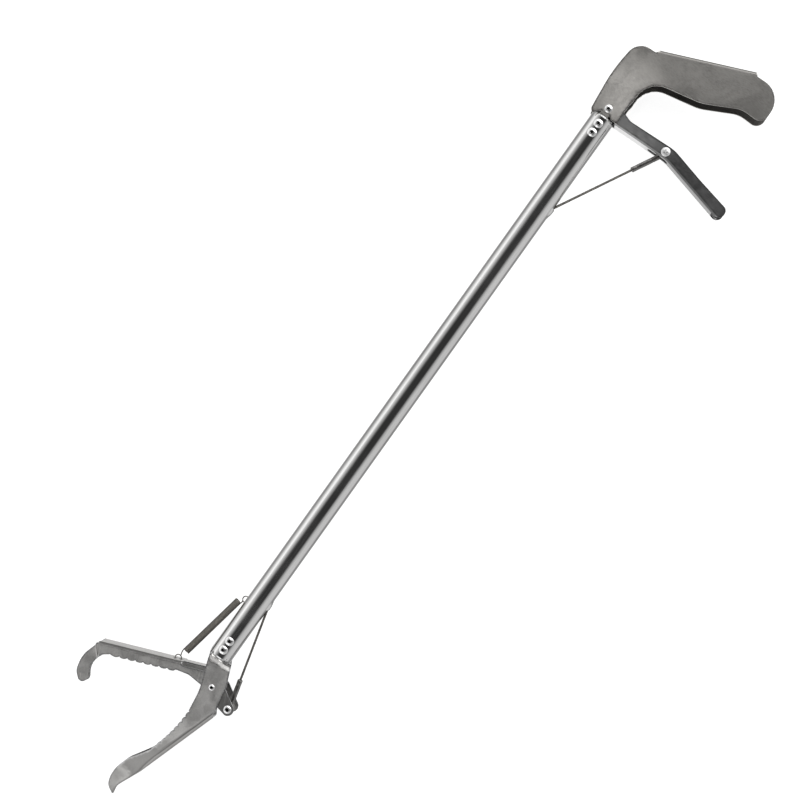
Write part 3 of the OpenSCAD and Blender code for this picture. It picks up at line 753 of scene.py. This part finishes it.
def build_fixed_jaw():
    """The jaw fixed to the tube: a channel that flattens to a spoon tip, with short necks into the tube."""
    xs = [-400, -367, -359, -350, -338, -322, -304, -200]
    widths = [1.3, 1.3, 2.4, 4.8, 7.4, 9.2, 10, 10]

    def half(depth, spot):
        x = spot[:, 0]
        w = sum(np.interp(x + k, xs, widths) for k in (-3, -1.5, 0, 1.5, 3)) / 5 - SHEET / 2
        start = -252.6 + 0.06 * np.maximum(8 - spot[:, 1], 0)
        return tab_height(spot, w, 1, start, -247.9, -247.4, 6.65, 30)

    lower = run([(-388.1, 6.6), (-381.0, 8.0, 9), (-360.1, -1.0, 50), FIXED_TAIL + (0.18, 0.57)], 12)
    fold = Fold(lower, half, 4.6, (FIXED_W - SHEET) / 2)
    neck = [(-245.4, -6.8, 0.1), (-248.2, -6.8, 0.1), (-248.2, -6.5, 0.1), (-240, -6.5, 0.4),
            (-240, 6.5, 0.4), (-248.2, 6.5, 0.1), (-248.2, 6.8, 0.1), (-245.4, 6.8, 0.1)]
    tail = run([FIXED_TAIL + (0, 0.3), (-287.0, -23.1, 1), (-262.0, -19.4, 15), (-245.4, -11.9, 0.5),
                neck[0]])[:-1]
    under_tail = run([FIXED_TAIL + (0, 0.3), (-287.0, -22.0, 1), (-281.0, -18.5, 4), (-262.0, -15.2, 15),
                      (-245.4, -8.2, 0.5), neck[0]])[:-1]
    cheek = run([tail[-1]] + neck + [(-245.4, 8.3, 0.4), (-276.5, -3.2, 45), (-294.0, -5.5)])
    cheek += teeth([-295.0, -6.8], [-317.0, -6.6], [-338.2, 0.6], 9, -TOOTH_H)
    cheek += run([(-339.0, 1.6), (-344.0, 4.4, 12), (-357.0, 12.6, 25), (-372.0, 17.4, 25), (-384.4, 14.2, 9),
                  (-388.5, 7.0, 0.5), (-387.8, 6.7)])
    upper, under = (fold.develop(end + cheek[1:]) for end in (tail, under_tail))
    outline = resample(upper + [p * (1, -1) for p in under[::-1]], 0.9)
    return sheet_piece("fixed_jaw_pressing", [outline], fold.place, SHEET, fixed_metal,
                       rows=fold.rows(-60, 60, 1.2), step=1.3, edge=0.2)


def build_moving_jaw():
    """The jaw that closes: a toothed channel on a straight back, with a flat hooked tip and an ear."""
    spine = unit(SPINE_TOP - SPINE_LOW)
    out = np.array([spine[1], -spine[0]])

    xs = [-60, 99.2, 100.8, 103, 160]
    widths = [8.3, 8.3, 1.9, 1.3, 1.3]

    def half(depth, spot):
        along = (spot - JAW_PIVOT) @ spine + 0.4 * np.clip(depth - 2, 0, 16)
        return sum(np.interp(along + k, xs, widths) for k in (-0.4, 0, 0.4)) / 3 - SHEET / 2

    fold = Fold([SPINE_LOW - 0.6 * out, SPINE_TOP - 0.6 * out], half, 2.0, (MOVING_W - SHEET) / 2)
    ear = [LEVER_PIN + 5 * polar(a) for a in np.radians(np.linspace(-31, -174, 16))]
    relief, strip = 22.0, 4.0
    gap = fold.flat + fold.arc + 0.2
    strip_run = run([(-0.5, 0.2), (-0.5, strip, 1.2), (relief, strip, 0.5), (relief, gap, 1.0),
                     (-1.5, gap, 1.0), fold.develop([(-260.4, -6.0)])[0]], 5)
    cheek = run([(-260.4, -6.0), (-262.3, -17.0, 8), tuple(ear[0])])[1:] + ear
    cheek += run([tuple(ear[-1]), (-278.7, -20, 8), (-272.8, -3, 12), (-272.2, 11, 12), (-275.0, 21.0)])[1:]
    cheek += teeth([-275.6, 22.0], [-286.2, 46.4], [-297.0, 70.6], 8, TOOTH_H)
    cheek += run([(-297.6, 71.6), (-302.4, 77.6, 10), (-315.5, 81.6, 14), (-325.7, 75.1, 3.5),
                  (-334.0, 79.6, 3.8), (-326.8, 88.0, 9), (-313.6, 91.2, 24), SPINE_TOP - 0.3 * out])
    outline = resample(both_cheeks(strip_run + fold.develop(cheek)), 0.9)
    holes = [round_slot(JAW_LOOP_AT + a, JAW_LOOP_AT + b, 0, 0.78) for a, b in ((-3.27, -1.38), (1.38, 3.27))]
    return sheet_piece("moving_jaw_pressing", [outline] + holes, fold.place, SHEET, moving_metal,
                       rows=fold.rows(-60, 60, 1.2), step=1.3, edge=0.2)


# ---- Rivets ----

BODY_OF = {node: body for body, nodes in frame["record"]["behaviour"]["bodies"].items() for node in nodes}


def stands_for(piece, slot, *nodes):
    """A piece takes the place of CAD nodes and moves with their body."""
    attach(piece, BODY_OF[nodes[0]])
    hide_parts(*nodes)
    return piece


def dome(radius, height, hole, depth):
    """Half section of a rivet head with a rounded rim and a pressed centre, from the rim inwards."""
    lip = hole * 1.12
    points = [(radius - 0.2, 0), (radius, 0.06 * height)]
    for a in np.linspace(1.0, 0.0, 9):
        points.append((lip + (radius - lip) * a, height * (0.2 + 0.8 * (1 - a ** 1.35))))
    floor = height - depth
    return points + [(hole, height - 0.12), (hole * 0.95, floor + 0.15), (hole * 0.75, floor), (0.001, floor)]


def plain_dome(radius, height):
    """Half section of a closed rivet head, from the rim inwards."""
    return [(radius - 0.2, 0)] + [(radius * a, height * (1 - 0.94 * a ** 2.4))
                                  for a in np.linspace(1, 0.001, 30)]


def rivet(name, at, section, low, node, punches=(), six_sided=0.0):
    """Both heads of a rivet, one on each side of the tool, with a pit in the middle painted dark as shadow, or
    with the small marks of a riveting punch, painted darker as shade."""
    pits = punches or [(0.0, 0.0, section[-4][0] * 1.03)]
    for side, word in ((1, "top"), (-1, "under")):
        finish = dull_rivet_metal if punches else rivet_metal
        head = lathe(f"{name}_{word}", section, at, low, finish, side, punches, six_sided)
        # The second material paints shade: near-black in the hole's pit, and the darker ferrule grey in the punch
        # marks.
        head.data.materials.append(ferrule_and_punch_shade_metal if punches else pit_shadow_metal)
        for face in head.data.polygons:
            corners = [head.data.vertices[i].co / MM - HOME for i in face.vertices]
            in_pit = any(all(math.hypot(p.x - at[0] - x, p.y - at[1] - y) < reach for p in corners)
                         for x, y, reach in pits)
            face.material_index = 1 if in_pit else 0
        stands_for(head, "rivets", node)


def build_rivets():
    blind = dome(3.8, 1.7, 1.2, 0.85)
    for end, xs in (("handle", HANDLE_RIVET_X), ("jaw", JAW_RIVET_X)):
        for i, x in enumerate(xs):
            rivet(f"{end}_blind_rivet_{i}", (x, 0), blind, TUBE_R - 0.75, f"{end}_tube_rivets")
    rivet("trigger_pivot_head", TRIGGER_PIVOT, dome(3.1, 1.1, 1.0, 1.0), HANDLE_W / 2, "trigger_pivot_rivet")
    rivet("jaw_pivot_head", JAW_PIVOT, dome(2.5, 0.9, 1.15, 0.9), FIXED_W / 2, "jaw_pivot_rivet")
    rivet("trigger_cable_head", TRIGGER_PIN, plain_dome(3.6, 1.2), TRIGGER_W / 2, "trigger_cable_rivet",
          [(*(1.3 * polar(a)), 0.5) for a in np.radians((30, 150, 270))])
    rivet("lever_cable_head", LEVER_PIN, dome(3.3, 1.1, 1.6, 0.8), MOVING_W / 2, "lever_cable_rivet",
          six_sided=1.7)


# ---- Cable, ferrules and spring ----

def swept(name, path, radii, material, sides=24):
    """A turned piece along a path, with a radius at each of its points."""
    path, radii = np.asarray(path, float), np.asarray(radii, float)
    frames = frames_along(path)
    length = np.concatenate([[0], np.cumsum(np.linalg.norm(np.diff(path, axis=0), axis=1))])
    slope = np.gradient(radii, np.maximum.accumulate(length + 1e-6 * np.arange(len(length))))
    ahead = np.cross(frames[:, 0], frames[:, 1])
    verts, normals = [], []
    for p, (u, v), r, s, d in zip(path, frames, radii, slope, ahead):
        for k in range(sides):
            a = 2 * math.pi * k / sides
            n = u * math.cos(a) + v * math.sin(a)
            verts.append(p + n * r)
            normals.append(unit(n - s * d))
    return make_mesh(name, verts, ring_faces(0, len(path), sides), normals, material)


def around(turn, across):
    """Directions at the angles turn, from across towards Z."""
    return np.cos(turn)[:, None] * across + np.sin(turn)[:, None] * np.array([0, 0, 1])


def rope(name, a, b, node):
    """Stranded wire rope: six strands laid around a core."""
    a, b = np.array([*a, 0.0]), np.array([*b, 0.0])
    length = np.linalg.norm(b - a)
    ahead = (b - a) / length
    across = np.cross((0, 0, 1), ahead)
    s = np.linspace(0, length, math.ceil(length / 0.6))
    core = a + s[:, None] * ahead
    paths = [core]
    for k in range(6):
        turn = 2 * math.pi * (k / 6 + s / 8.5)
        paths.append(core + 0.63 * around(turn, across))
    return stands_for(wires(name, paths, 0.36, rope_metal, 8), "cable", node)


def build_ferrule(name, pin, hole, reach, node):
    """A crimped end: a round eye on the pin and a barrel with two crimps that grips the cable."""
    eye = [(2.5, 0.3), (2.8, 0), (3.5, 0), (3.9, 0.5), (3.9, 3.9), (3.5, 4.4), (2.8, 4.4), (2.5, 4.1),
           (2.5, 0.3)]
    stands_for(lathe(f"{name}_eye", eye, pin, -2.2, ferrule_and_punch_shade_metal), "ferrules", node)
    ahead = np.array([*unit(hole - pin), 0.0])
    from_pin = [3.3, 4.0, 5.0, 5.6, 7.0, 9.5, 10.2, 10.8, 11.4, 13.0]
    from_end = np.array([6.0, 5.2, 4.6, 4.0, 2.5, 0.7, 0.25, 0.05, 0.05, 0.4])
    s = np.concatenate([from_pin, reach - from_end])
    crimp = [2.05, 2.1, 2.1, 2.04, 1.96]
    r = np.array([1.5, 1.7, 1.95, *crimp, *crimp, 2.05, 2.1, 2.1, 2.0, 1.8, 1.25, 1.1])
    spot = np.array([*pin, 0.0]) + s[:, None] * ahead
    stands_for(swept(f"{name}_barrel", spot, r, ferrule_and_punch_shade_metal), "ferrules", node)


def build_cables():
    rear, front = unit(REAR_HOLE - TRIGGER_PIN), unit(FRONT_HOLE - LEVER_PIN)
    rope("rear_rope", TRIGGER_PIN + 19.5 * rear, REAR_HOLE + 18.0 * rear, "rear_cable")
    rope("front_rope", LEVER_PIN + 15 * front, FRONT_HOLE + 6.6 * front, "front_cable")
    build_ferrule("rear", TRIGGER_PIN, REAR_HOLE, 28, "rear_ferrule")
    build_ferrule("front", LEVER_PIN, FRONT_HOLE, 23.5, "front_ferrule")


def hook(name, centre, leg_end, node):
    """A loop of wire at one end of the spring, with its leg back to the coil."""
    to_coil = unit(leg_end - centre)
    start = math.atan2(to_coil[1], to_coil[0])
    ring = [(*(centre + 2.5 * polar(start + a)), 0.25 * (1 - a / math.pi))
            for a in np.radians(np.arange(-20, 330, 15))]
    path = [(*leg_end, 0.0), (*(leg_end * 0.5 + (centre + 2.7 * to_coil) * 0.5), 0.15)] + ring
    return stands_for(wires(name, [smooth_path(path, 0.35)], WIRE_R, spring_metal), "spring", node)


def build_spring():
    """The close-wound return spring and its two end loops. The coil runs between its two ends."""
    span = COIL_END - COIL_START
    length = np.linalg.norm(span)
    ahead = np.array([*(span / length), 0.0])
    across = np.array([-ahead[1], ahead[0], 0.0])
    turns = round(length / (2 * WIRE_R))
    turn = np.linspace(0, 2 * math.pi * turns, turns * 22 + 1)
    r = COIL_R - WIRE_R
    coil = np.array([*COIL_START, 0.0]) + (turn / turn[-1] * length)[:, None] * ahead
    coil = coil + r * around(turn, across)
    piece = wires("spring_coil", [coil], WIRE_R * 0.97, spring_metal, 8)
    in_frame((*COIL_START, 0))
    in_frame((*COIL_END, 0))
    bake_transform(piece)
    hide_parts("return_spring")
    spine = unit(SPINE_TOP - SPINE_LOW)
    jaw_loop = SPINE_LOW + JAW_LOOP_AT * spine + 0.6 * np.array([spine[1], -spine[0]])
    hook("spring_loop_on_tube", TUBE_LOOP, COIL_START + r * across[:2], "spring_tube_hook")
    hook("spring_loop_on_jaw", jaw_loop, COIL_END - r * across[:2], "spring_jaw_hook")


# ---- Studio ----

def turned(roll, yaw):
    """Rotation that carries the tool's axes to the camera's table: roll about X, yaw about Y."""
    turn = Matrix.Rotation(-roll, 3, "X") @ Matrix.Rotation(-yaw, 3, "Y")
    x = turn @ Vector((1, 0, 0))
    return Matrix.Rotation(-math.atan2(x.y, x.x), 3, "Z") @ turn


TABLE = turned(math.radians(6.0), math.radians(3.1))
END_PANELS = (0.65, 1.9)
PANEL_POWER = 4
# The studio's panels: the angle from the camera's direction, turned about the tube, and the brightness there.
PANELS = [(-180, 0.95), (-160, 0.62), (-143, 0.36), (-119, 0.20), (-108, 0.5), (-95, 0.6), (-62, 0.58),
          (-47, 0.43), (-37, 0.21), (-30, 0.05), (-25, 0.034), (16, 0.034), (21, 0.05), (27, 0.09),
          (37, 0.28), (47, 0.45), (57, 0.65), (68, 1.08), (80, 1.0), (92, 0.72), (104, 0.48),
          (119, 0.26), (143, 0.36), (160, 0.62), (180, 0.95)]


def build_camera():
    """A camera almost straight above the tool, turned so that the tool lies along the diagonal."""
    back = TABLE.transposed()
    data = bpy.data.cameras.new("camera")
    data.lens, data.sensor_width = 58.86, 36.0
    data.clip_end = 20
    camera = add_object("camera", data)
    axes = [back @ Vector(v) for v in ((0.58, -0.8146, 0), (0.8146, 0.58, 0), (0, 0, 1))]
    camera.matrix_world = Matrix.Translation(in_frame(back @ Vector((0, 1.7, 1020)))) @ \
        Matrix([v.normalized() for v in axes]).transposed().to_4x4()
    bpy.context.scene.camera = camera


def build_floor():
    """A plain pale floor, which doesn't show in the polished metal."""
    n = Nodes("pale_floor")
    place = n.add("ShaderNodeTexCoord").outputs["Object"]
    tone = n.mix(n.noise(place, 4, 3), (0.50, 0.50, 0.50, 1), (0.53, 0.53, 0.53, 1))
    n.put(tone, n.shader.inputs["Base Color"])
    n.shader.inputs["Roughness"].default_value = 0.9
    n.shader.inputs["Specular IOR Level"].default_value = 0.1
    n.shader.inputs["Emission Color"].default_value = (1, 1, 1, 1)
    n.shader.inputs["Emission Strength"].default_value = 0.87
    count, size = 24, 3.0
    side = np.linspace(-size, size, count + 1)
    verts = [(x, y, 0) for y in side for x in side]
    starts = [i * (count + 1) + j for i in range(count) for j in range(count)]
    faces = [(k, k + 1, k + count + 2, k + count + 1) for k in starts]
    mesh = bpy.data.meshes.new("floor")
    mesh.from_pydata(verts, [], faces)
    mesh.materials.append(n.material)
    floor = add_object("floor", mesh)
    floor.visible_glossy = False


def build_world():
    """Soft panels all around the tool, with a dark gap overhead where the camera stands, and a panel
    beyond each end."""
    world = bpy.data.worlds.new("studio")
    bpy.context.scene.world = world
    world.use_nodes = True
    tree = world.node_tree

    def add(kind, operation=None, *values):
        node = tree.nodes.new(kind)
        if operation:
            node.operation = operation
        for value, socket in zip(values, node.inputs):
            if isinstance(value, bpy.types.NodeSocket):
                tree.links.new(value, socket)
            else:
                socket.default_value = value
        return node

    where = add("ShaderNodeTexCoord").outputs["Generated"]
    across, up, along = (add("ShaderNodeVectorMath", "DOT_PRODUCT", where, TABLE.row[i]).outputs[1]
                         for i in (1, 2, 0))
    angle = add("ShaderNodeMath", "ARCTAN2", across, up).outputs[0]
    share = add("ShaderNodeMapRange", None, angle, -math.pi, math.pi, 0.0, 1.0).outputs[0]
    ramp = add("ShaderNodeValToRGB", None, share)
    elements = ramp.color_ramp.elements
    elements.remove(elements[0])
    for i, (degrees, bright) in enumerate(PANELS):
        element = elements[0] if i == 0 else elements.new((degrees + 180) / 360)
        element.position = (degrees + 180) / 360
        element.color = (bright / 2, bright / 2, bright / 2, 1)
    above = add("ShaderNodeMapRange", None, up, 0.0, 0.25, 0.0, 0.5).outputs[0]
    total = ramp.outputs[0]
    for side, power in zip((-1, 1), END_PANELS):
        end = add("ShaderNodeMapRange", None, along, side * 0.32, side * 0.70, 0.0, power)
        end.interpolation_type = "SMOOTHSTEP"
        panel = add("ShaderNodeMath", "MULTIPLY", end.outputs[0], above).outputs[0]
        total = add("ShaderNodeMath", "MAXIMUM", total, panel).outputs[0]
    background = tree.nodes["Background"]
    tree.links.new(total, background.inputs["Color"])
    background.inputs["Strength"].default_value = 2.0


def build_lights():
    """Two weak soft panels beyond the ends of the tool."""
    for name, x in (("handle_end_panel", 1.0), ("jaw_end_panel", -1.0)):
        data = bpy.data.lights.new(name, "AREA")
        data.shape, data.size, data.size_y, data.energy = "RECTANGLE", 1.2, 1.6, PANEL_POWER
        light = add_object(name, data)
        light.location = Vector((x * 1.5, 0, 0.9))
        light.rotation_euler = (-light.location).to_track_quat("-Z", "Y").to_euler()


# ---- Assembly ----

stands_for(build_tube(), "tube", "main_tube")
stands_for(build_handle(), "handle", "handle_shell")
stands_for(build_trigger(), "trigger", "trigger")
stands_for(build_fixed_jaw(), "jaws", "fixed_jaw")
stands_for(build_moving_jaw(), "jaws", "moving_jaw")
build_rivets()
build_cables()
build_spring()
for node_slot, finish, kept_names in (
        ("rivets", rivet_metal, ("trigger_pivot_bush", "trigger_pivot_washers", "trigger_cable_bush",
                                 "lever_cable_bush", "jaw_pivot_bush", "jaw_pivot_washers")),
        ("cable", rope_metal, ("inner_cable",))):
    for node_name in kept_names:
        kept = frame["nodes"][node_name]
        kept.data.materials.clear()
        kept.data.materials.append(finish)

build_camera()
build_floor()
build_world()
build_lights()
bpy.context.scene.view_settings.view_transform = "Standard"
